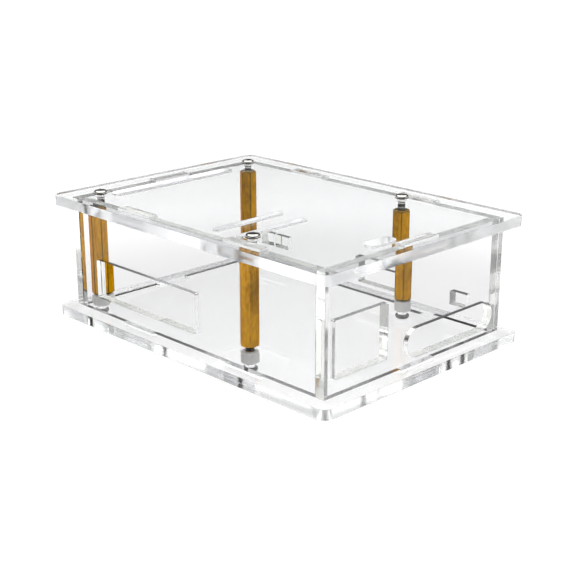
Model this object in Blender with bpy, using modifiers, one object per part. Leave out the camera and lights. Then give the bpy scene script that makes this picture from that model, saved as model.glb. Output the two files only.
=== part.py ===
# Clear acrylic case for a single board computer: six laser-cut sheets with tabs in slots,
# held together by four brass standoffs on nylon spacers, each screwed from above and below.
# Units are metres, +Z is up, and the origin is on the floor under the middle of the case.
# X runs along the long walls, Y from the front wall to the back wall.

import math

import bmesh
import bpy
from mathutils import Matrix

MM = 0.001
MERGE_DISTANCE = 0.001 * MM      # points nearer than this are one point

# Sheet stock and the outline of the box
SHEET_THICKNESS = 3.0 * MM
WALL_SETBACK = 4.5 * MM          # plate edge to the outer face of a wall
PLATE_CORNER_RADIUS = 3.0 * MM
CUT_CORNER_RADIUS = 0.5 * MM     # corners of the square port cut-outs

# Board: mounting holes, and the room between them and the inner wall faces
HOLE_SPACING_X = 68.2 * MM
HOLE_SPACING_Y = 61.3 * MM
ROOM_LEFT = 3.1 * MM
ROOM_RIGHT = 29.7 * MM
ROOM_FRONT = 3.2 * MM
ROOM_BACK = 3.5 * MM
BOARD_THICKNESS = 1.6 * MM       # room left for the board between spacer and standoff
LID_PLAY = 1.4 * MM              # left over the standoffs with the board in

# Tabs of the walls, and the gap kept round everything that touches
TAB_LENGTH = 14.0 * MM
TAB_PITCH = 46.0 * MM            # centre to centre on the long walls
SEAT_GAP = 0.2 * MM

# Hardware, M2.5
THREAD_RADIUS = 1.25 * MM
THREAD_CLEARANCE = 0.1 * MM
HEX_ACROSS_FLATS = 5.0 * MM
END_FACE_RADIUS = 2.05 * MM      # flat ring left by the chamfer on a hexagon's end
END_CHAMFER_ANGLE = 32.0         # degrees from the end face
STANDOFF_LENGTH = 26.0 * MM
STANDOFF_BORE_DEPTH = 8.0 * MM
BORE_COUNTERSINK = 0.3 * MM
SPACER_HEIGHT = 3.5 * MM
HEAD_RADIUS = 2.15 * MM
HEAD_HEIGHT = 1.3 * MM
HEAD_RIM = 0.4 * MM              # height of the straight side of the head
HEAD_FLAT_RADIUS = 1.3 * MM      # flat in the middle of the head
RECESS_DEPTH = 0.8 * MM
RECESS_SPAN = 2.4 * MM
RECESS_WIDTH = 0.55 * MM
RECESS_TAPER = 0.6               # width and span at the recess's floor over those at its top
THREAD_ENGAGEMENT = 2.5 * MM     # screw in a standoff at its farthest from the screw's head
TIP_CHAMFER = 0.3 * MM

# With no board in, a standoff can stand off its spacer and leave some of the screw bare
STANDOFF_RISE = {"front_right": 1.2 * MM, "back_left": 0.9 * MM}

# Port cut-outs. Heights are above the underside of the board.
FRONT_PORT_START = 7.9 * MM      # from the inner face of the left wall
FRONT_PORT_LENGTH = 45.9 * MM
FRONT_PORT_LOW = 1.3 * MM
FRONT_PORT_HEIGHT = 12.1 * MM

JACK_START = 0.8 * MM            # from the inner face of the front wall
JACK_WIDTH = 20.5 * MM
JACK_LOW = 1.2 * MM
JACK_HEIGHT = 16.2 * MM

EDGE_SLOT_START = 29.5 * MM      # from the inner face of the front wall
EDGE_SLOT_END = 0.2 * MM         # short of the inner face of the back wall
EDGE_SLOT_LOW = -1.5 * MM
EDGE_SLOT_HEIGHT = 8.6 * MM

VIDEO_START = 49.8 * MM          # from the inner face of the left wall
VIDEO_LENGTH = 17.0 * MM
VIDEO_LOW = 0.3 * MM
VIDEO_HEIGHT = 6.3 * MM

SMALL_PORTS = 2
SMALL_PORT_WIDTH = 6.0 * MM
SMALL_PORT_LOW = 1.7 * MM
SMALL_PORT_HEIGHT = 4.3 * MM
SMALL_PORT_FIRST = 6.1 * MM      # from the inner face of the left wall
SMALL_PORT_PITCH = 6.8 * MM
POWER_PORT_END = 8.4 * MM        # from the inner face of the right wall

# Slots in the lid, placed from the mounting holes and the right wall
HEADER_SLOT_WIDTH = 4.7 * MM
HEADER_SLOT_ASIDE = 2.1 * MM     # from the line of the left holes
HEADER_SLOT_FRONT = 3.3 * MM     # from the front left hole
HEADER_SLOT_BACK = 10.0 * MM     # from the back left hole
RIBBON_SLITS = 2
RIBBON_SLIT_WIDTH = 2.2 * MM
RIBBON_SLIT_LENGTH = 26.3 * MM
RIBBON_SLIT_FIRST = 4.3 * MM     # from the line of the right holes
RIBBON_SLIT_PITCH = 9.6 * MM
RIBBON_SLIT_FRONT = 1.4 * MM     # from the inner face of the front wall
PIN_SLOT_WIDTH = 5.0 * MM
PIN_SLOT_LENGTH = 10.5 * MM
PIN_SLOT_ASIDE = 1.3 * MM        # from the inner face of the right wall
PIN_SLOT_FRONT = 19.8 * MM       # from the inner face of the front wall

# How far each hexagon and each cross recess happened to be turned, in degrees
HEX_TURN = {"front_left": 15.0, "front_right": 52.0, "back_right": 42.0, "back_left": 4.0}
RECESS_TURN = {"front_left": 65.0, "front_right": 28.0, "back_right": 38.0, "back_left": 62.0}

ARC_STEPS = 8                    # segments in a quarter of a round corner
ROUND_STEPS = 30                 # segments round a screw or a bore
CROWN_STEPS = 5                  # segments from the flat of a screw head to its rim
SHARP_ANGLE = 35.0               # degrees between faces from which an edge shows as sharp

INNER_LENGTH = ROOM_LEFT + HOLE_SPACING_X + ROOM_RIGHT
INNER_WIDTH = ROOM_FRONT + HOLE_SPACING_Y + ROOM_BACK
INNER_HEIGHT = SPACER_HEIGHT + BOARD_THICKNESS + STANDOFF_LENGTH + LID_PLAY
PLATE_LENGTH = INNER_LENGTH + 2 * (SHEET_THICKNESS + WALL_SETBACK)
PLATE_WIDTH = INNER_WIDTH + 2 * (SHEET_THICKNESS + WALL_SETBACK)

LEFT_FACE = -INNER_LENGTH / 2    # inner faces of the four walls
RIGHT_FACE = INNER_LENGTH / 2
FRONT_FACE = -INNER_WIDTH / 2
BACK_FACE = INNER_WIDTH / 2
FLOOR_UNDER = HEAD_HEIGHT + SEAT_GAP
FLOOR_TOP = FLOOR_UNDER + SHEET_THICKNESS
LID_UNDER = FLOOR_TOP + INNER_HEIGHT
LID_TOP = LID_UNDER + SHEET_THICKNESS
BOARD_UNDER = FLOOR_TOP + SPACER_HEIGHT
SCREW_HOLE_RADIUS = THREAD_RADIUS + SEAT_GAP

HOLES = {
    "front_left": (LEFT_FACE + ROOM_LEFT, FRONT_FACE + ROOM_FRONT),
    "front_right": (LEFT_FACE + ROOM_LEFT + HOLE_SPACING_X, FRONT_FACE + ROOM_FRONT),
    "back_right": (LEFT_FACE + ROOM_LEFT + HOLE_SPACING_X, BACK_FACE - ROOM_BACK),
    "back_left": (LEFT_FACE + ROOM_LEFT, BACK_FACE - ROOM_BACK),
}


def make_collection(name):
    collection = bpy.data.collections.new(name)
    bpy.context.scene.collection.children.link(collection)
    return collection


def make_material(name, colour, roughness, metallic=0.0, transmission=0.0, ior=1.45):
    material = bpy.data.materials.new(name)
    material.use_nodes = True
    shader = material.node_tree.nodes["Principled BSDF"]
    shader.inputs["Base Color"].default_value = (*colour, 1.0)
    shader.inputs["Roughness"].default_value = roughness
    shader.inputs["Metallic"].default_value = metallic
    shader.inputs["Transmission Weight"].default_value = transmission
    shader.inputs["IOR"].default_value = ior
    return material


def add_object(name, mesh, collection, material=None):
    thing = bpy.data.objects.new(name, mesh)
    collection.objects.link(thing)
    if material:
        mesh.materials.clear()
        mesh.materials.append(material)
    return thing


def bake_mesh(source, name):
    """Mesh of an object as it shows, with its modifiers and its placing worked in."""
    graph = bpy.context.evaluated_depsgraph_get()
    mesh = bpy.data.meshes.new_from_object(source.evaluated_get(graph))
    mesh.transform(source.matrix_world)
    mesh.name = name
    shell = bmesh.new()
    shell.from_mesh(mesh)
    bmesh.ops.remove_doubles(shell, verts=shell.verts, dist=MERGE_DISTANCE)
    bmesh.ops.recalc_face_normals(shell, faces=shell.faces)
    shell.to_mesh(mesh)
    shell.free()
    bpy.data.objects.remove(source)
    return mesh


# Flat outlines: each is a list of points in the plane of the sheet

def rectangle(left, low, width, height, radius=0.0):
    """Rectangle with its corners rounded, by its lower left corner and size."""
    if radius == 0.0:
        return [(left, low), (left + width, low), (left + width, low + height), (left, low + height)]
    radius = min(radius, width / 2, height / 2)
    centres = [
        (left + width - radius, low + radius),
        (left + width - radius, low + height - radius),
        (left + radius, low + height - radius),
        (left + radius, low + radius),
    ]
    points = []
    for quarter, (x, y) in enumerate(centres, start=-1):
        for step in range(ARC_STEPS + 1):
            angle = math.pi / 2 * (quarter + step / ARC_STEPS)
            points.append((x + radius * math.cos(angle), y + radius * math.sin(angle)))
    return drop_repeats(points)


def drop_repeats(points):
    """Leave out a point that falls on the one before it, as where two arcs meet."""
    kept = []
    for point in points:
        if not kept or math.dist(point, kept[-1]) > MERGE_DISTANCE:
            kept.append(point)
    if math.dist(kept[0], kept[-1]) < MERGE_DISTANCE:
        kept.pop()
    return kept


def circle(x, y, radius):
    angles = [2 * math.pi * step / ROUND_STEPS for step in range(ROUND_STEPS)]
    return [(x + radius * math.cos(a), y + radius * math.sin(a)) for a in angles]


def tabbed_rectangle(left, right, low, high, tab_low, tab_high, tab_centres):
    """Wall outline: a rectangle with tabs that reach down to tab_low and up to tab_high."""
    points = [(left, low)]
    for centre in tab_centres:
        start, end = centre - TAB_LENGTH / 2, centre + TAB_LENGTH / 2
        points += [(start, low), (start, tab_low), (end, tab_low), (end, low)]
    points += [(right, low), (right, high)]
    for centre in reversed(tab_centres):
        start, end = centre - TAB_LENGTH / 2, centre + TAB_LENGTH / 2
        points += [(end, high), (end, tab_high), (start, tab_high), (start, high)]
    points.append((left, high))
    return points


def cut_sheet(name, outline, cuts, placing, collection, material):
    """Sheet of the stock thickness with its cut-outs; placing puts its middle plane."""
    curve = bpy.data.curves.new(name, "CURVE")
    curve.dimensions = "2D"
    curve.fill_mode = "BOTH"
    curve.extrude = SHEET_THICKNESS / 2
    for points in [outline] + cuts:
        spline = curve.splines.new("POLY")
        spline.points.add(len(points) - 1)
        for point, (x, y) in zip(spline.points, points):
            point.co = (x, y, 0.0, 1.0)
        spline.use_cyclic_u = True
    sheet = bpy.data.objects.new(name + "_outline", curve)
    collection.objects.link(sheet)
    sheet.matrix_world = placing
    bpy.context.view_layer.update()
    return add_object(name, bake_mesh(sheet, name), collection, material)


# The sheets

def tab_centres_long():
    return [-TAB_PITCH / 2, TAB_PITCH / 2]


def tab_centres_short():
    return [0.0]


def tab_slots():
    """Slots of a plate that take the tabs of all four walls."""
    slots = []
    length = TAB_LENGTH + 2 * SEAT_GAP
    width = SHEET_THICKNESS + 2 * SEAT_GAP
    wall_y = INNER_WIDTH / 2 + SHEET_THICKNESS / 2
    wall_x = INNER_LENGTH / 2 + SHEET_THICKNESS / 2
    for side in (-1, 1):
        for centre in tab_centres_long():
            slots.append(rectangle(centre - length / 2, side * wall_y - width / 2, length, width))
        for centre in tab_centres_short():
            slots.append(rectangle(side * wall_x - width / 2, centre - length / 2, width, length))
    return slots


def plate_outline():
    return rectangle(-PLATE_LENGTH / 2, -PLATE_WIDTH / 2, PLATE_LENGTH, PLATE_WIDTH,
                     PLATE_CORNER_RADIUS)


def screw_holes():
    return [circle(x, y, SCREW_HOLE_RADIUS) for x, y in HOLES.values()]


def lid_slots():
    """Header slot, two ribbon slits and the short pin slot of the lid."""
    left_hole = HOLES["front_left"][0]
    right_hole = HOLES["front_right"][0]
    header_front = HOLES["front_left"][1] + HEADER_SLOT_FRONT
    header_back = HOLES["back_left"][1] - HEADER_SLOT_BACK
    header_left = left_hole + HEADER_SLOT_ASIDE - HEADER_SLOT_WIDTH / 2
    slots = [rectangle(header_left, header_front, HEADER_SLOT_WIDTH, header_back - header_front,
                       HEADER_SLOT_WIDTH / 2)]
    for number in range(RIBBON_SLITS):
        middle = right_hole - RIBBON_SLIT_FIRST - number * RIBBON_SLIT_PITCH
        slots.append(rectangle(middle - RIBBON_SLIT_WIDTH / 2, FRONT_FACE + RIBBON_SLIT_FRONT,
                               RIBBON_SLIT_WIDTH, RIBBON_SLIT_LENGTH, RIBBON_SLIT_WIDTH / 2))
    slots.append(rectangle(RIGHT_FACE - PIN_SLOT_ASIDE - PIN_SLOT_WIDTH, FRONT_FACE + PIN_SLOT_FRONT,
                           PIN_SLOT_WIDTH, PIN_SLOT_LENGTH, PIN_SLOT_WIDTH / 2))
    return slots


def make_plates(collection, material):
    middle = SHEET_THICKNESS / 2
    cut_sheet("bottom_plate", plate_outline(), tab_slots() + screw_holes(),
              Matrix.Translation((0, 0, FLOOR_UNDER + middle)), collection, material)
    cut_sheet("top_plate", plate_outline(), tab_slots() + screw_holes() + lid_slots(),
              Matrix.Translation((0, 0, LID_UNDER + middle)), collection, material)


def wall_outline(half_length, tab_centres):
    return tabbed_rectangle(-half_length, half_length, FLOOR_TOP + SEAT_GAP, LID_UNDER - SEAT_GAP,
                            FLOOR_UNDER, LID_TOP, tab_centres)


def front_ports():
    return [rectangle(LEFT_FACE + FRONT_PORT_START, BOARD_UNDER + FRONT_PORT_LOW,
                      FRONT_PORT_LENGTH, FRONT_PORT_HEIGHT, CUT_CORNER_RADIUS)]


def back_ports():
    ports = [rectangle(LEFT_FACE + VIDEO_START, BOARD_UNDER + VIDEO_LOW,
                       VIDEO_LENGTH, VIDEO_HEIGHT, CUT_CORNER_RADIUS)]
    starts = [LEFT_FACE + SMALL_PORT_FIRST + number * SMALL_PORT_PITCH
              for number in range(SMALL_PORTS)]
    starts.append(RIGHT_FACE - POWER_PORT_END - SMALL_PORT_WIDTH)
    for start in starts:
        ports.append(rectangle(start, BOARD_UNDER + SMALL_PORT_LOW,
                               SMALL_PORT_WIDTH, SMALL_PORT_HEIGHT, CUT_CORNER_RADIUS / 2))
    return ports


def right_ports():
    jack = rectangle(FRONT_FACE + JACK_START, BOARD_UNDER + JACK_LOW, JACK_WIDTH, JACK_HEIGHT,
                     CUT_CORNER_RADIUS)
    slot_start = FRONT_FACE + EDGE_SLOT_START
    slot_length = BACK_FACE - EDGE_SLOT_END - slot_start
    slot = rectangle(slot_start, BOARD_UNDER + EDGE_SLOT_LOW, slot_length, EDGE_SLOT_HEIGHT,
                     EDGE_SLOT_HEIGHT / 2)
    return [jack, slot]


def make_walls(collection, material):
    """Long walls stand between the short ones, which cover their ends."""
    upright = Matrix.Rotation(math.radians(90), 4, "X")
    sideways = Matrix.Rotation(math.radians(90), 4, "Z") @ upright
    long_half = INNER_LENGTH / 2 - SEAT_GAP
    short_half = INNER_WIDTH / 2 + SHEET_THICKNESS
    middle_y = INNER_WIDTH / 2 + SHEET_THICKNESS / 2
    middle_x = INNER_LENGTH / 2 + SHEET_THICKNESS / 2
    cut_sheet("front_wall", wall_outline(long_half, tab_centres_long()), front_ports(),
              Matrix.Translation((0, -middle_y, 0)) @ upright, collection, material)
    cut_sheet("back_wall", wall_outline(long_half, tab_centres_long()), back_ports(),
              Matrix.Translation((0, middle_y, 0)) @ upright, collection, material)
    cut_sheet("left_wall", wall_outline(short_half, tab_centres_short()), [],
              Matrix.Translation((-middle_x, 0, 0)) @ sideways, collection, material)
    cut_sheet("right_wall", wall_outline(short_half, tab_centres_short()), right_ports(),
              Matrix.Translation((middle_x, 0, 0)) @ sideways, collection, material)


# The turned and hexagonal hardware

def turned(name, profile, collection, steps=ROUND_STEPS):
    """Solid of revolution from a profile that runs down its outer side, top to bottom."""
    mesh = bpy.data.meshes.new(name)
    points = [(radius, 0.0, height) for radius, height in profile]
    edges = [(number, number + 1) for number in range(len(points) - 1)]
    mesh.from_pydata(points, edges, [])
    thing = add_object(name, mesh, collection)
    screw = thing.modifiers.new("turn", "SCREW")
    screw.angle = 2 * math.pi
    screw.steps = steps
    screw.render_steps = steps
    screw.use_merge_vertices = True
    screw.merge_threshold = MERGE_DISTANCE
    return thing


def as_cutter(thing):
    thing.hide_render = True
    thing.display_type = "WIRE"
    return thing


def cut_with(thing, other, operation):
    boolean = thing.modifiers.new(operation.lower(), "BOOLEAN")
    boolean.operation = operation
    boolean.solver = "EXACT"
    boolean.object = other


def shade_round(mesh):
    mesh.shade_smooth()
    mesh.set_sharp_from_angle(angle=math.radians(SHARP_ANGLE))


def hexagon_mesh(name, height, bores, parts, cutters):
    """Hexagon bar standing on the origin, its ends turned to a chamfer, bored by profiles."""
    corner = HEX_ACROSS_FLATS / 2 / math.cos(math.radians(30))
    mesh = bpy.data.meshes.new(name)
    shell = bmesh.new()
    bmesh.ops.create_cone(shell, cap_ends=True, segments=6, radius1=corner, radius2=corner,
                          depth=height, matrix=Matrix.Translation((0, 0, height / 2)))
    shell.to_mesh(mesh)
    shell.free()
    bar = add_object(name, mesh, parts)
    barrel_radius = corner + SEAT_GAP
    chamfer = (barrel_radius - END_FACE_RADIUS) * math.tan(math.radians(END_CHAMFER_ANGLE))
    profile = [(0, height), (END_FACE_RADIUS, height), (barrel_radius, height - chamfer),
               (barrel_radius, chamfer), (END_FACE_RADIUS, 0), (0, 0)]
    cut_with(bar, as_cutter(turned(name + "_barrel", profile, cutters, 2 * ROUND_STEPS)), "INTERSECT")
    for number, bore in enumerate(bores):
        cut_with(bar, as_cutter(turned(f"{name}_bore_{number}", bore, cutters)), "DIFFERENCE")
    bpy.context.view_layer.update()
    return bake_mesh(bar, name)


def blind_bore(mouth, depth, up):
    """Threaded hole with a countersunk mouth and a drill point; up tells the way it opens."""
    radius = THREAD_RADIUS + THREAD_CLEARANCE
    sink = radius + BORE_COUNTERSINK
    past = mouth + up * SEAT_GAP
    point = radius / math.sqrt(3)
    profile = [(0, past), (sink + SEAT_GAP, past), (sink, mouth), (radius, mouth - up * BORE_COUNTERSINK),
               (radius, mouth - up * depth), (0, mouth - up * (depth + point))]
    if up < 0:
        profile.reverse()
    return profile


def standoff_mesh(parts, cutters):
    bores = [blind_bore(STANDOFF_LENGTH, STANDOFF_BORE_DEPTH, 1),
             blind_bore(0.0, STANDOFF_BORE_DEPTH, -1)]
    mesh = hexagon_mesh("standoff", STANDOFF_LENGTH, bores, parts, cutters)
    shade_round(mesh)
    return mesh


def spacer_mesh(parts, cutters):
    radius = SCREW_HOLE_RADIUS
    through = [(0, SPACER_HEIGHT + SEAT_GAP), (radius, SPACER_HEIGHT + SEAT_GAP),
               (radius, -SEAT_GAP), (0, -SEAT_GAP)]
    mesh = hexagon_mesh("spacer", SPACER_HEIGHT, [through], parts, cutters)
    shade_round(mesh)
    return mesh


def recess_blade(name, turn, cutters):
    """One of the two crossed blades that cut a recess: it narrows from its top to its floor."""
    tall = 2 * RECESS_DEPTH
    widen = 2 - RECESS_TAPER
    blade = bpy.data.meshes.new(name)
    shell = bmesh.new()
    bmesh.ops.create_cube(shell, size=1.0)
    for vert in shell.verts:
        share = widen if vert.co.z > 0 else RECESS_TAPER
        vert.co.x *= RECESS_SPAN * share
        vert.co.y *= RECESS_WIDTH * share
        vert.co.z *= tall
    bmesh.ops.transform(shell, verts=shell.verts,
                        matrix=Matrix.Translation((0, 0, HEAD_HEIGHT))
                        @ Matrix.Rotation(math.radians(turn), 4, "Z"))
    shell.to_mesh(blade)
    shell.free()
    return as_cutter(add_object(name, blade, cutters))


def screw_mesh(name, length, parts, cutters):
    """Cross-recess pan head screw: the head stands on the origin, the shank hangs below it."""
    profile = [(0, HEAD_HEIGHT)]
    for step in range(CROWN_STEPS + 1):
        angle = math.radians(90 * step / CROWN_STEPS)
        profile.append((HEAD_FLAT_RADIUS + (HEAD_RADIUS - HEAD_FLAT_RADIUS) * math.sin(angle),
                        HEAD_RIM + (HEAD_HEIGHT - HEAD_RIM) * math.cos(angle)))
    profile += [(HEAD_RADIUS, 0), (THREAD_RADIUS, 0), (THREAD_RADIUS, TIP_CHAMFER - length),
                (THREAD_RADIUS - TIP_CHAMFER, -length), (0, -length)]
    screw = turned(name, profile, parts)
    for turn in (0, 90):
        cut_with(screw, recess_blade(f"{name}_blade_{turn}", turn, cutters), "DIFFERENCE")
    bpy.context.view_layer.update()
    mesh = bake_mesh(screw, name)
    shade_round(mesh)
    return mesh


def place(name, mesh, corner, height, turn, collection, material, flip=False):
    thing = add_object(name, mesh, collection, material)
    thing.location = (*HOLES[corner], height)
    thing.rotation_euler = (math.radians(180) if flip else 0.0, 0.0, math.radians(turn))
    return thing


def make_hardware(parts, cutters):
    brass = make_material("brass", (0.55, 0.31, 0.07), 0.38, metallic=1.0)
    nylon = make_material("nylon", (0.82, 0.83, 0.80), 0.45)
    steel = make_material("screw_steel", (0.72, 0.72, 0.71), 0.18, metallic=1.0)
    standoff = standoff_mesh(parts, cutters)
    spacer = spacer_mesh(parts, cutters)
    reach = SHEET_THICKNESS + BOARD_THICKNESS + THREAD_ENGAGEMENT
    top_screw = screw_mesh("top_screw", reach + LID_PLAY, parts, cutters)
    bottom_screw = screw_mesh("bottom_screw", reach + SPACER_HEIGHT, parts, cutters)
    spacer_foot = FLOOR_TOP + SEAT_GAP
    standoff_foot = spacer_foot + SPACER_HEIGHT + SEAT_GAP
    for corner, turn in HEX_TURN.items():
        rise = STANDOFF_RISE.get(corner, 0.0)
        cross = RECESS_TURN[corner]
        place("spacer_" + corner, spacer, corner, spacer_foot, turn, parts, nylon)
        place("standoff_" + corner, standoff, corner, standoff_foot + rise, turn, parts, brass)
        place("top_screw_" + corner, top_screw, corner, LID_TOP + SEAT_GAP, cross, parts, steel)
        place("bottom_screw_" + corner, bottom_screw, corner, FLOOR_UNDER - SEAT_GAP, cross, parts,
              steel, flip=True)


def main():
    for thing in list(bpy.data.objects):
        bpy.data.objects.remove(thing)
    parts = make_collection("single_board_computer_case")
    cutters = make_collection("cutters")
    acrylic = make_material("clear_acrylic", (0.95, 0.96, 0.96), 0.03, transmission=1.0, ior=1.49)
    make_plates(parts, acrylic)
    make_walls(parts, acrylic)
    make_hardware(parts, cutters)


main()
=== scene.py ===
# Looks of the clear board case: acrylic sheets, brass standoffs, nylon spacers and nickel screws.
import math

import bmesh
import bpy
from mathutils import Matrix, Vector


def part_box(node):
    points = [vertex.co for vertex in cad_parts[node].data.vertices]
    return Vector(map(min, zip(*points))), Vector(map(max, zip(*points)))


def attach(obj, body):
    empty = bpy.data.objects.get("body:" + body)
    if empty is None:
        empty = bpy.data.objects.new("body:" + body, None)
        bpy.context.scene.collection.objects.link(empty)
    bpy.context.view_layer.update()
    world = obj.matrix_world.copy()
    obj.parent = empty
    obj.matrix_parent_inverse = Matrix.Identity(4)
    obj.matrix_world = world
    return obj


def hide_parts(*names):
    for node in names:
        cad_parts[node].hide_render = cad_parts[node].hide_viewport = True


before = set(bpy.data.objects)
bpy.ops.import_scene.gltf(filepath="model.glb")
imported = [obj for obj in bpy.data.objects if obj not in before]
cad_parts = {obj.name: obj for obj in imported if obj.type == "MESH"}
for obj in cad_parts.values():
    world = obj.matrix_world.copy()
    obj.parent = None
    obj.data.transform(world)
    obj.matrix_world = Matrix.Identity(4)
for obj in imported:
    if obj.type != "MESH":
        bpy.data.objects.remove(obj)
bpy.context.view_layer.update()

mm = 0.001
white = (1.0, 1.0, 1.0, 1.0)
even = (1.0, 1.0, 1.0)       # stretch of a texture that is as fine one way as another
noiseSpan = (0.3, 0.7)       # most values of a noise lie between these
corners = ("front_left", "front_right", "back_right", "back_left")
print("stage: frame loaded,", len(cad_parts), "nodes")


class Signal:
    # one output socket, usable in plain arithmetic: each operator adds a Math node
    def __init__(self, recipe, socket):
        self.recipe = recipe
        self.socket = socket

    def calc(self, operation, *values):
        return self.recipe.add("ShaderNodeMath", {"operation": operation}, dict(enumerate(values)))

    def __add__(self, other):
        return self.calc("ADD", self, other)

    __radd__ = __add__

    def __sub__(self, other):
        return self.calc("SUBTRACT", self, other)

    def __rsub__(self, other):
        return self.calc("SUBTRACT", other, self)

    def __mul__(self, other):
        return self.calc("MULTIPLY", self, other)

    __rmul__ = __mul__


class Recipe:
    # the node tree of one material or of the world
    def __init__(self, owner):
        owner.use_nodes = True
        self.tree = owner.node_tree
        self.tree.nodes.clear()

    def add(self, kind, settings=None, sockets=None, output=0):
        # a node of any kind: its settings come first, then a value or a link for each socket
        node = self.tree.nodes.new(kind)
        for name, value in (settings or {}).items():
            setattr(node, name, value)
        for name, value in (sockets or {}).items():
            if isinstance(value, Signal):
                self.tree.links.new(value.socket, node.inputs[name])
            else:
                node.inputs[name].default_value = value
        return Signal(self, node.outputs[output]) if len(node.outputs) else None

    def noise(self, scale, detail, roughness=0.5, stretch=even):
        # scale is per metre of the piece, and a stretch below 1 draws the noise out along its axis
        place = self.add("ShaderNodeTexCoord", output="Object")
        vector = self.add("ShaderNodeMapping", sockets={"Vector": place, "Scale": stretch})
        return self.add("ShaderNodeTexNoise", sockets={"Vector": vector, "Scale": scale,
                                                       "Detail": detail, "Roughness": roughness})

    def fit(self, value, span, low=0.0, high=1.0, shape="LINEAR"):
        # low where the value is at the span's start or before, high at its end or after
        return self.add("ShaderNodeMapRange", {"interpolation_type": shape},
                        {"Value": value, "From Min": span[0], "From Max": span[1],
                         "To Min": low, "To Max": high})

    def blend(self, share, first, second):
        return self.add("ShaderNodeMix", {"data_type": "RGBA"},
                        {0: share, 6: first, 7: second}, output=2)

    def bump(self, height, strength, distance):
        return self.add("ShaderNodeBump", sockets={"Height": height, "Strength": strength,
                                                   "Distance": distance})

    def surface(self, sockets):
        shader = self.add("ShaderNodeBsdfPrincipled", sockets=sockets)
        self.add("ShaderNodeOutputMaterial", sockets={"Surface": shader})


def newMaterial(name):
    material = bpy.data.materials.new(name)
    return material, Recipe(material)


def addPiece(name, mesh, standsFor):
    # a piece of the case: rides on the one body and stands for its CAD node
    piece = bpy.data.objects.new(name, mesh)
    bpy.context.scene.collection.objects.link(piece)
    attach(piece, "root")
    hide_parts(standsFor)
    return piece


# Meshes taken over from the frame, and how their edges are rounded
taken = {
    "mergeWithin": 0.001 * mm,   # corners this close become one
    "flatWithin": 0.5,           # and faces that turn by less than this, in degrees
    "roundingSegments": 2,
}


def cleanCopy(nodeName, materials):
    # the node's own mesh with its flat faces made whole again, ready for a bevel
    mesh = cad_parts[nodeName].data.copy()
    mesh.materials.clear()
    if "custom_normal" in mesh.attributes:
        mesh.attributes.remove(mesh.attributes["custom_normal"])
    shell = bmesh.new()
    shell.from_mesh(mesh)
    bmesh.ops.remove_doubles(shell, verts=shell.verts, dist=taken["mergeWithin"])
    bmesh.ops.dissolve_limit(shell, angle_limit=math.radians(taken["flatWithin"]),
                             verts=shell.verts, edges=shell.edges)
    shell.to_mesh(mesh)
    shell.free()
    mesh.shade_smooth()
    for material in materials:
        mesh.materials.append(material)
    return mesh


def evenShading(piece):
    piece.modifiers.new("even_shading", "WEIGHTED_NORMAL").keep_sharp = True


def roundEdges(piece, width, overAngle):
    # rounds the edges that turn by more than overAngle, in degrees
    bevel = piece.modifiers.new("rounding", "BEVEL")
    bevel.width = width
    bevel.segments = taken["roundingSegments"]
    bevel.limit_method = "ANGLE"
    bevel.angle_limit = math.radians(overAngle)
    evenShading(piece)
    return bevel


# Acrylic: clear faces, and cut edges with the fine lines that the laser leaves
acrylic = {
    "ior": 1.49,
    "glare": (0.0, 0.0, 0.0, 1.0),   # share kept of the head-on surface reflection
    "faceRoughness": (0.0, 0.02),
    "smudges": {"scale": 45.0, "detail": 4.0},      # on the faces
    "smudgeSpan": (0.45, 0.7),
    "squareOn": (0.12, 0.20),        # Layer Weight's facing: squarely seen below, glancing above
    "lines": {"scale": 1400.0, "detail": 3.0},      # laser marks on a cut edge
    "lineStrength": 0.4,
    "dullPlaces": {"scale": 90.0, "detail": 2.0},   # along a cut edge
    "paintedShadePlaces": {"scale": 260.0, "detail": 2.0},  # painted shade along its rims, in places
    "paintedShadeSpan": (0.56, 0.74),
    "edgeRounding": 0.15 * mm,
    "roundOver": 40.0,               # degrees
    "faceNormal": 0.9,               # a face's normal has at least this much along the thin axis
}
lidFinish = {
    "tint": (0.99, 1.0, 1.0, 1.0),
    "squareTint": (0.77, 0.78, 0.78, 1.0),
    "cutTint": (0.97, 0.98, 0.99, 1.0),
    # the rim colour below is painted shade on the rims of the cut edges
    "rimPaintedShade": (0.10, 0.10, 0.11, 1.0),
    "cutRoughness": (0.24, 0.36),
    "lineDepth": 0.006 * mm,
}
baseFinish = {
    "tint": (0.965, 0.97, 0.97, 1.0),
    "squareTint": (0.77, 0.78, 0.78, 1.0),
    "cutTint": (0.94, 0.95, 0.955, 1.0),
    # the rim colour below is painted shade on the rims of the cut edges
    "rimPaintedShade": (0.0, 0.0, 0.0, 1.0),
    "cutRoughness": (0.07, 0.18),
    "lineDepth": 0.014 * mm,
}
wallFinish = {
    "tint": (0.735, 0.735, 0.74, 1.0),
    "squareTint": (0.76, 0.76, 0.765, 1.0),
    "cutTint": (0.73, 0.74, 0.72, 1.0),
    # the rim colour below is painted shade on the rims of the cut edges
    "rimPaintedShade": (0.0, 0.0, 0.0, 1.0),
    "cutRoughness": (0.06, 0.18),
    "lineDepth": 0.006 * mm,
}
serratedFinish = dict(wallFinish, cutRoughness=(0.03, 0.10), lineDepth=0.12 * mm)
sheets = {          # finish, the axis it is thin along, and the stretch of its laser marks
    "top_plate": (lidFinish, 2, (0.12, 0.12, 1.0)),
    "bottom_plate": (baseFinish, 2, (0.05, 0.05, 1.0)),
    "front_wall": (wallFinish, 1, (1.0, 1.0, 0.12)),
    "back_wall": (serratedFinish, 1, (1.0, 0.1, 1.0)),
    "left_wall": (wallFinish, 0, (1.0, 1.0, 0.12)),
    "right_wall": (serratedFinish, 0, (0.1, 1.0, 1.0)),
}


def clearSurface(nodes, sockets):
    # what the faces, cuts and rims share: light goes through them
    nodes.surface({"IOR": acrylic["ior"], "Transmission Weight": 1.0,
                   "Specular Tint": acrylic["glare"], **sockets})


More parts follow.
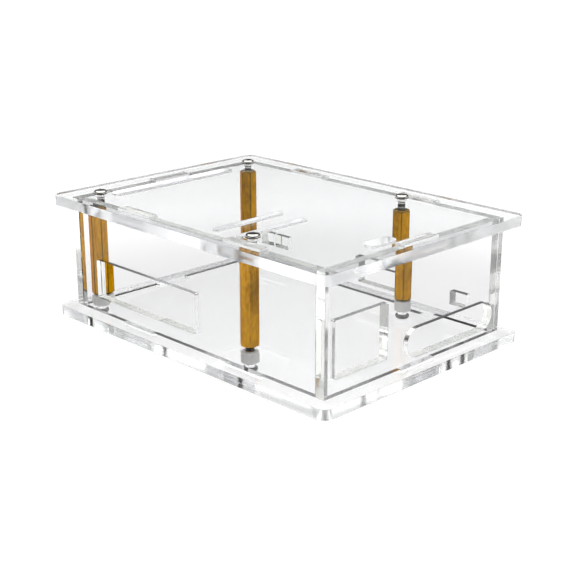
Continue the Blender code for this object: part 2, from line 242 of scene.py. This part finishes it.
def acrylicFace(name, finish):
    material, nodes = newMaterial("acrylic_face_" + name)
    smudges = nodes.noise(**acrylic["smudges"])
    facing = nodes.add("ShaderNodeLayerWeight", output="Facing")
    glancing = nodes.fit(facing, acrylic["squareOn"])
    clearSurface(nodes, {
        "Base Color": nodes.blend(glancing, finish["squareTint"], finish["tint"]),
        "Roughness": nodes.fit(smudges, acrylic["smudgeSpan"], *acrylic["faceRoughness"])})
    return material


def acrylicCut(name, finish, stretch):
    material, nodes = newMaterial("acrylic_cut_" + name)
    lines = nodes.noise(**acrylic["lines"], stretch=stretch)
    dull = nodes.noise(**acrylic["dullPlaces"], stretch=stretch)
    clearSurface(nodes, {
        "Base Color": finish["cutTint"],
        "Roughness": nodes.fit(dull, noiseSpan, *finish["cutRoughness"]),
        "Normal": nodes.bump(lines, acrylic["lineStrength"], finish["lineDepth"])})
    return material


def acrylicRim(name, finish):
    # the rounded rim of a cut edge, a thin line that is dark in places: painted shade
    material, nodes = newMaterial("acrylic_rim_painted_shade_" + name)
    places = nodes.noise(**acrylic["paintedShadePlaces"])
    share = nodes.fit(places, acrylic["paintedShadeSpan"])
    clearSurface(nodes, {
        "Base Color": nodes.blend(share, finish["rimPaintedShade"], finish["cutTint"]),
        "Roughness": nodes.fit(places, noiseSpan, *finish["cutRoughness"])})
    return material


def dressSheets():
    faceSlot, cutSlot, rimSlot = range(3)
    for name, (finish, thinAxis, stretch) in sheets.items():
        mesh = cleanCopy(name, [acrylicFace(name, finish), acrylicCut(name, finish, stretch),
                                acrylicRim(name, finish)])
        for polygon in mesh.polygons:
            isFace = abs(polygon.normal[thinAxis]) > acrylic["faceNormal"]
            polygon.material_index = faceSlot if isFace else cutSlot
        piece = addPiece("clear_" + name, mesh, name)
        roundEdges(piece, acrylic["edgeRounding"], acrylic["roundOver"]).material = rimSlot
        piece.visible_shadow = False     # light reaches what stands inside


# Brass standoffs: drawn hexagon bar, tarnished, with painted shade on its rounded edges
brass = {
    "light": (0.78, 0.385, 0.010, 1.0),
    "dark": (0.30, 0.135, 0.004, 1.0),
    # the two edge colours below are painted shade for the rounded edges
    "edgeShadePale": (0.26, 0.165, 0.012, 1.0),
    "edgeShadeDeep": (0.09, 0.065, 0.007, 1.0),
    "grazing": (0.80, 0.50, 0.10, 1.0),      # tint of its reflection along a glancing sight line
    "streaks": {"scale": 2200.0, "detail": 3.0, "stretch": (1.0, 1.0, 0.04)},
    "mottle": {"scale": 1500.0, "detail": 4.0, "roughness": 0.6, "stretch": (1.0, 1.0, 0.45)},
    "tarnish": {"scale": 420.0, "detail": 5.0, "roughness": 0.6, "stretch": (1.0, 1.0, 0.35)},
    "shares": (0.25, 0.4, 0.35),             # of streaks, mottle and tarnish in its colour
    "colourSpan": (0.38, 0.62),
    "roughness": (0.28, 0.45),
    "streakStrength": 0.25,
    "streakDepth": 0.01 * mm,
    "edgeRounding": 0.2 * mm,
    "roundOver": 25.0,                       # degrees
}


def brassFinish(name, dark, light, metallic):
    material, nodes = newMaterial(name)
    streaks = nodes.noise(**brass["streaks"])
    mottle = nodes.noise(**brass["mottle"])
    tarnish = nodes.noise(**brass["tarnish"])
    ofStreaks, ofMottle, ofTarnish = brass["shares"]
    share = nodes.fit(streaks * ofStreaks + mottle * ofMottle + tarnish * ofTarnish,
                      brass["colourSpan"])
    nodes.surface({
        "Base Color": nodes.blend(share, dark, light), "Metallic": metallic,
        "Specular Tint": brass["grazing"], "Specular IOR Level": 0.0,
        "Roughness": nodes.fit(tarnish, noiseSpan, *brass["roughness"]),
        "Normal": nodes.bump(streaks, brass["streakStrength"], brass["streakDepth"])})
    return material


def dressStandoffs():
    finishes = [brassFinish("drawn_brass", brass["dark"], brass["light"], metallic=1.0),
                # the rounded edges get a dull dark colour that is painted shade
                brassFinish("brass_edges_painted_shade", brass["edgeShadeDeep"], brass["edgeShadePale"], metallic=0.0)]
    flatSlot, edgeShadeSlot = range(2)
    for corner in corners:
        name = "standoff_" + corner
        mesh = cleanCopy(name, finishes)
        for polygon in mesh.polygons:
            polygon.material_index = flatSlot
        piece = addPiece("brass_" + name, mesh, name)
        roundEdges(piece, brass["edgeRounding"], brass["roundOver"]).material = edgeShadeSlot


# Nylon spacers: milky, and lit a little from within
nylon = {
    "milky": (0.98, 0.98, 0.95, 1.0),
    "grey": (0.94, 0.94, 0.91, 1.0),
    "clouds": {"scale": 420.0, "detail": 3.0},
    "roughness": (0.3, 0.45),
    "scatter": 0.5,                                  # share of light that goes in and comes out
    "scatterReach": (1.2 * mm, 1.2 * mm, 1.1 * mm),  # and how far from there, by colour
    "cloudStrength": 0.2,
    "cloudDepth": 0.03 * mm,
    "edgeRounding": 0.12 * mm,
    "roundOver": 25.0,                               # degrees
}


def nylonFinish():
    material, nodes = newMaterial("milky_nylon")
    clouds = nodes.noise(**nylon["clouds"])
    nodes.surface({
        "Base Color": nodes.blend(clouds, nylon["grey"], nylon["milky"]),
        "Roughness": nodes.fit(clouds, noiseSpan, *nylon["roughness"]),
        "Subsurface Weight": nylon["scatter"], "Subsurface Radius": nylon["scatterReach"],
        "Subsurface Scale": 1.0,
        "Normal": nodes.bump(clouds, nylon["cloudStrength"], nylon["cloudDepth"])})
    return material


def dressSpacers():
    plastic = nylonFinish()
    for corner in corners:
        name = "spacer_" + corner
        piece = addPiece("nylon_" + name, cleanCopy(name, [plastic]), name)
        roundEdges(piece, nylon["edgeRounding"], nylon["roundOver"])


# Screws: nickel plate, a pan head with a cross recess, and a real thread on the shank
nickel = {
    "bright": (0.78, 0.77, 0.74, 1.0),
    "dull": (0.62, 0.60, 0.56, 1.0),
    "shade": (0.04, 0.038, 0.034, 1.0),      # painted shade on the recess, rim and thread
    "shadeLight": (0.22, 0.21, 0.19, 1.0),
    "marks": {"scale": 1500.0, "detail": 4.0, "roughness": 0.6},
    "colourSpan": (0.35, 0.65),
    "roughness": (0.04, 0.14),
    "markStrength": 0.1,
    "markDepth": 0.01 * mm,
}
screw = {
    "threadPitch": 0.45 * mm,
    "threadDepth": 0.24 * mm,
    "threadRunIn": 2.0,          # turns under the head in which the thread gets its full depth
    "headRadius": 2.15 * mm,
    "headHeight": 1.3 * mm,
    "headRim": 0.4 * mm,         # height of the head's straight side
    "headFlat": 1.3 * mm,        # radius at which the crown turns down
    "headDome": 0.14 * mm,       # how far the top falls from its middle to there
    "headChamfer": 0.08 * mm,    # under the head
    "shankRadius": 1.25 * mm,
    "tipChamfer": 0.35 * mm,
    "recessDepth": 0.8 * mm,
    "recessSpan": 2.4 * mm,
    "recessWidth": 0.55 * mm,
    "recessTaper": 0.6,          # size at the bottom as a share of the size at the top
    "sharpOver": 38.0,           # degrees between faces that aren't shaded as one
    "around": 40,                # steps round the screw
    "perTurn": 8,                # rings in one turn of the thread
    "domeSteps": 6,
    "crownSteps": 8,
    "turns": {"front_left": 65.0, "front_right": 28.0, "back_right": 38.0, "back_left": 62.0},
}


def nickelFinish(name, dull, bright):
    material, nodes = newMaterial(name)
    marks = nodes.noise(**nickel["marks"])
    nodes.surface({
        "Base Color": nodes.blend(nodes.fit(marks, nickel["colourSpan"]), dull, bright),
        "Metallic": 1.0, "Roughness": nodes.fit(marks, noiseSpan, *nickel["roughness"]),
        "Normal": nodes.bump(marks, nickel["markStrength"], nickel["markDepth"])})
    return material


def screwRings(length):
    # rings from the middle of the head to the tip: height, radius, and share of the thread's depth
    rings = []
    crown = screw["headHeight"] - screw["headDome"] - screw["headRim"]
    spread = screw["headRadius"] - screw["headFlat"]
    for step in range(1, screw["domeSteps"] + 1):
        out = step / screw["domeSteps"]
        rings.append((screw["headHeight"] - screw["headDome"] * out ** 2, screw["headFlat"] * out, 0.0))
    for step in range(1, screw["crownSteps"] + 1):
        angle = math.radians(90.0 * step / screw["crownSteps"])
        rings.append((screw["headRim"] + crown * math.cos(angle),
                      screw["headFlat"] + spread * math.sin(angle), 0.0))
    rings.append((screw["headChamfer"], screw["headRadius"], 0.0))
    rings.append((0.0, screw["headRadius"] - screw["headChamfer"], 0.0))
    rings.append((0.0, screw["shankRadius"], 0.0))
    count = int(length / screw["threadPitch"] * screw["perTurn"])
    tip = screw["tipChamfer"]
    for step in range(1, count):
        height = -length * step / count
        depth = min(1.0, step / (screw["threadRunIn"] * screw["perTurn"]))
        taper = min(1.0, (length + height) / tip)
        rings.append((height, screw["shankRadius"] - (1.0 - taper) * tip, depth * taper))
    rings.append((-length, screw["shankRadius"] - tip, 0.0))
    return rings


def cutRecess(mesh, paintedShadeMetal):
    # two tapered blades, crossed, cut out of the head; the faces they cut take the painted shade
    body = bpy.data.objects.new("screw_blank", mesh)
    bpy.context.scene.collection.objects.link(body)
    blades = []
    for turn in (0, 90):
        shell = bmesh.new()
        bmesh.ops.create_cube(shell, size=1.0)
        for vert in shell.verts:
            share = 2.0 - screw["recessTaper"] if vert.co.z > 0 else screw["recessTaper"]
            vert.co.x *= screw["recessSpan"] * share
            vert.co.y *= screw["recessWidth"] * share
            vert.co.z *= 2.0 * screw["recessDepth"]
        bmesh.ops.transform(shell, verts=shell.verts,
                            matrix=Matrix.Translation((0, 0, screw["headHeight"]))
                            @ Matrix.Rotation(math.radians(turn), 4, "Z"))
        blade = bpy.data.meshes.new("blade")
        shell.to_mesh(blade)
        shell.free()
        blade.materials.append(paintedShadeMetal)
        blades.append(bpy.data.objects.new("blade", blade))
        bpy.context.scene.collection.objects.link(blades[-1])
        cut = body.modifiers.new("cut", "BOOLEAN")
        cut.operation = "DIFFERENCE"
        cut.object = blades[-1]
    graph = bpy.context.evaluated_depsgraph_get()
    finished = bpy.data.meshes.new_from_object(body.evaluated_get(graph))
    for thing in [body] + blades:
        bpy.data.objects.remove(thing)
    finished.name = mesh.name
    finished.shade_smooth()
    finished.set_sharp_from_angle(angle=math.radians(screw["sharpOver"]))
    return finished


def screwMesh(name, length, metal, paintedShadeMetal):
    shell = bmesh.new()
    around = screw["around"]
    rows = []
    for height, radius, depth in screwRings(length):
        row = []
        for step in range(around):
            angle = 2.0 * math.pi * step / around
            turn = (height / screw["threadPitch"] + step / around) % 1.0
            groove = depth * screw["threadDepth"] * (1.0 - abs(2.0 * turn - 1.0))
            reach = radius - groove
            row.append(shell.verts.new((reach * math.cos(angle), reach * math.sin(angle), height)))
        rows.append(row)
    for upper, lower in zip(rows, rows[1:]):
        for step in range(around):
            after = (step + 1) % around
            face = shell.faces.new((upper[step], lower[step], lower[after], upper[after]))
            # faces below the top of the head's rim, on the rim and the thread, take the painted shade
            face.material_index = int(upper[step].co.z < screw["headRim"])
    shell.faces.new(rows[0])
    shell.faces.new(list(reversed(rows[-1])))
    bmesh.ops.recalc_face_normals(shell, faces=shell.faces)
    mesh = bpy.data.meshes.new(name)
    shell.to_mesh(mesh)
    shell.free()
    mesh.materials.append(metal)
    mesh.materials.append(paintedShadeMetal)
    return cutRecess(mesh, paintedShadeMetal)


def dressScrews():
    metal = nickelFinish("nickel_plate", nickel["dull"], nickel["bright"])
    # a near-black nickel that is painted shade in the recess, on the rim and on the thread
    paintedShadeMetal = nickelFinish("nickel_painted_shade", nickel["shade"], nickel["shadeLight"])
    for kind, headUp in (("top_screw", True), ("bottom_screw", False)):
        low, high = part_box(kind + "_front_left")
        mesh = screwMesh(kind + "_threaded", high.z - low.z - screw["headHeight"], metal, paintedShadeMetal)
        for corner in corners:
            name = kind + "_" + corner
            low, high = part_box(name)
            piece = addPiece("nickel_" + name, mesh, name)
            middle = (low + high) / 2
            seat = high.z - screw["headHeight"] if headUp else low.z + screw["headHeight"]
            piece.location = (middle.x, middle.y, seat)
            flip = 0.0 if headUp else math.pi
            piece.rotation_euler = (flip, 0.0, math.radians(screw["turns"][corner]))
            evenShading(piece)


# Stage: white floor and surround, soft light
studio = {
    "floorSize": 4.0,
    "floorColour": (0.32, 0.32, 0.32, 1.0),
    "floorRoughness": 0.9,
    "floorGlow": 0.76,           # added where it is looked at, so that it reads white
    "throughGlow": 0.44,         # more of it through two sheets, to make up for what they hold back
    "throughAfter": (1.6, 4.0),  # meetings with a surface that two sheets take
    "backGlow": 0.40,            # and more again away from the case, between these distances
    "backGlowFrom": (80.0 * mm, 150.0 * mm),
    "horizon": (0.12, 0.20),     # heights of a direction between which the white backdrop ends
    "softbox": (0.55, 0.75),     # and between which the overhead softbox begins
    "softboxLevel": 1.85,
    "darkRing": 0.05,            # level of the unlit studio between the two
    "guided": 0.65,              # more for light that has been to and fro inside a sheet
    "guidedAfter": (5.0, 9.0),   # and after how many meetings with a surface that is
    "openSide": (0.707, -0.707, 0.0),   # where the studio has no backdrop
    "openWidth": (0.62, 0.82),   # cosines between which it is open
    "openAbove": (-0.02, 0.02),  # and heights of a direction
    "openLevel": 0.03,
    "bounces": 64,               # light goes to and fro many times inside a clear sheet
}


def makeFloor():
    bpy.ops.mesh.primitive_plane_add(size=studio["floorSize"], location=(0, 0, 0))
    floor = bpy.context.object
    floor.name = "studio_floor"
    material, nodes = newMaterial("white_floor")
    seen = nodes.add("ShaderNodeLightPath", output="Is Camera Ray")
    through = nodes.add("ShaderNodeLightPath", output="Is Transmission Ray")
    looked = seen.calc("MAXIMUM", seen, through)
    place = nodes.add("ShaderNodeTexCoord", output="Object")
    away = nodes.add("ShaderNodeVectorMath", {"operation": "LENGTH"}, {0: place}, output="Value")
    back = nodes.fit(away, studio["backGlowFrom"], 0.0, studio["backGlow"], "SMOOTHSTEP")
    meetings = nodes.add("ShaderNodeLightPath", output="Ray Depth")
    makeUp = nodes.fit(meetings, studio["throughAfter"], 0.0, studio["throughGlow"])
    nodes.surface({
        "Base Color": studio["floorColour"], "Roughness": studio["floorRoughness"],
        "Specular IOR Level": 0.0, "Emission Color": white,
        "Emission Strength": looked * studio["floorGlow"] + through * (back + makeUp)})
    floor.data.materials.append(material)


def makeWorld():
    world = bpy.data.worlds.new("studio_surround")
    bpy.context.scene.world = world
    nodes = Recipe(world)
    direction = nodes.add("ShaderNodeTexCoord", output="Generated")
    height = nodes.add("ShaderNodeSeparateXYZ", sockets={0: direction}, output="Z")
    aboveBackdrop = nodes.fit(height, studio["horizon"], shape="SMOOTHSTEP")
    overhead = nodes.fit(height, studio["softbox"], shape="SMOOTHSTEP")
    side = nodes.add("ShaderNodeVectorMath", {"operation": "DOT_PRODUCT"},
                     {0: direction, 1: studio["openSide"]}, output="Value")
    aboveFloor = nodes.fit(height, studio["openAbove"], shape="SMOOTHSTEP")
    unlit = nodes.fit(side, studio["openWidth"], shape="SMOOTHSTEP") * aboveFloor
    meetings = nodes.add("ShaderNodeLightPath", output="Ray Depth")
    guided = nodes.fit(meetings, studio["guidedAfter"], 0.0, studio["guided"])
    level = 1.0 - aboveBackdrop * (1.0 - studio["darkRing"] - guided)
    level = level * (1.0 - unlit) + unlit * studio["openLevel"]
    level = level + overhead * (studio["softboxLevel"] - studio["darkRing"])
    seen = nodes.add("ShaderNodeLightPath", output="Is Camera Ray")
    shader = nodes.add("ShaderNodeBackground", sockets={
        "Color": white, "Strength": level * (1.0 - seen) + seen})
    nodes.add("ShaderNodeOutputWorld", sockets={"Surface": shader})


# Camera where the photograph was taken from, fitted to the plates' edges
view = {
    "eye": (247.8 * mm, -241.46 * mm, 128.68 * mm),
    "look": (-0.6758, 0.6663, -0.3152),
    "lens": 75.2,                # millimetres, as the sensor
    "sensor": 36.0,
    "clip": (0.01, 20.0),        # metres
}


def makeCamera():
    data = bpy.data.cameras.new("photo_view")
    data.lens = view["lens"]
    data.sensor_width = view["sensor"]
    data.clip_start, data.clip_end = view["clip"]
    camera = bpy.data.objects.new("photo_view", data)
    camera.location = view["eye"]
    camera.rotation_euler = Vector(view["look"]).to_track_quat("-Z", "Y").to_euler()
    bpy.context.scene.collection.objects.link(camera)
    bpy.context.scene.camera = camera


def setRendering():
    bpy.context.scene.view_settings.view_transform = "Standard"
    cycles = bpy.context.scene.cycles
    cycles.max_bounces = studio["bounces"]
    cycles.transmission_bounces = studio["bounces"]
    cycles.glossy_bounces = studio["bounces"]


dressSheets()
print("stage: sheets dressed")
dressStandoffs()
dressSpacers()
print("stage: standoffs and spacers dressed")
dressScrews()
print("stage: screws threaded")
makeFloor()
makeWorld()
makeCamera()
setRendering()
print("stage: floor, light and camera set")
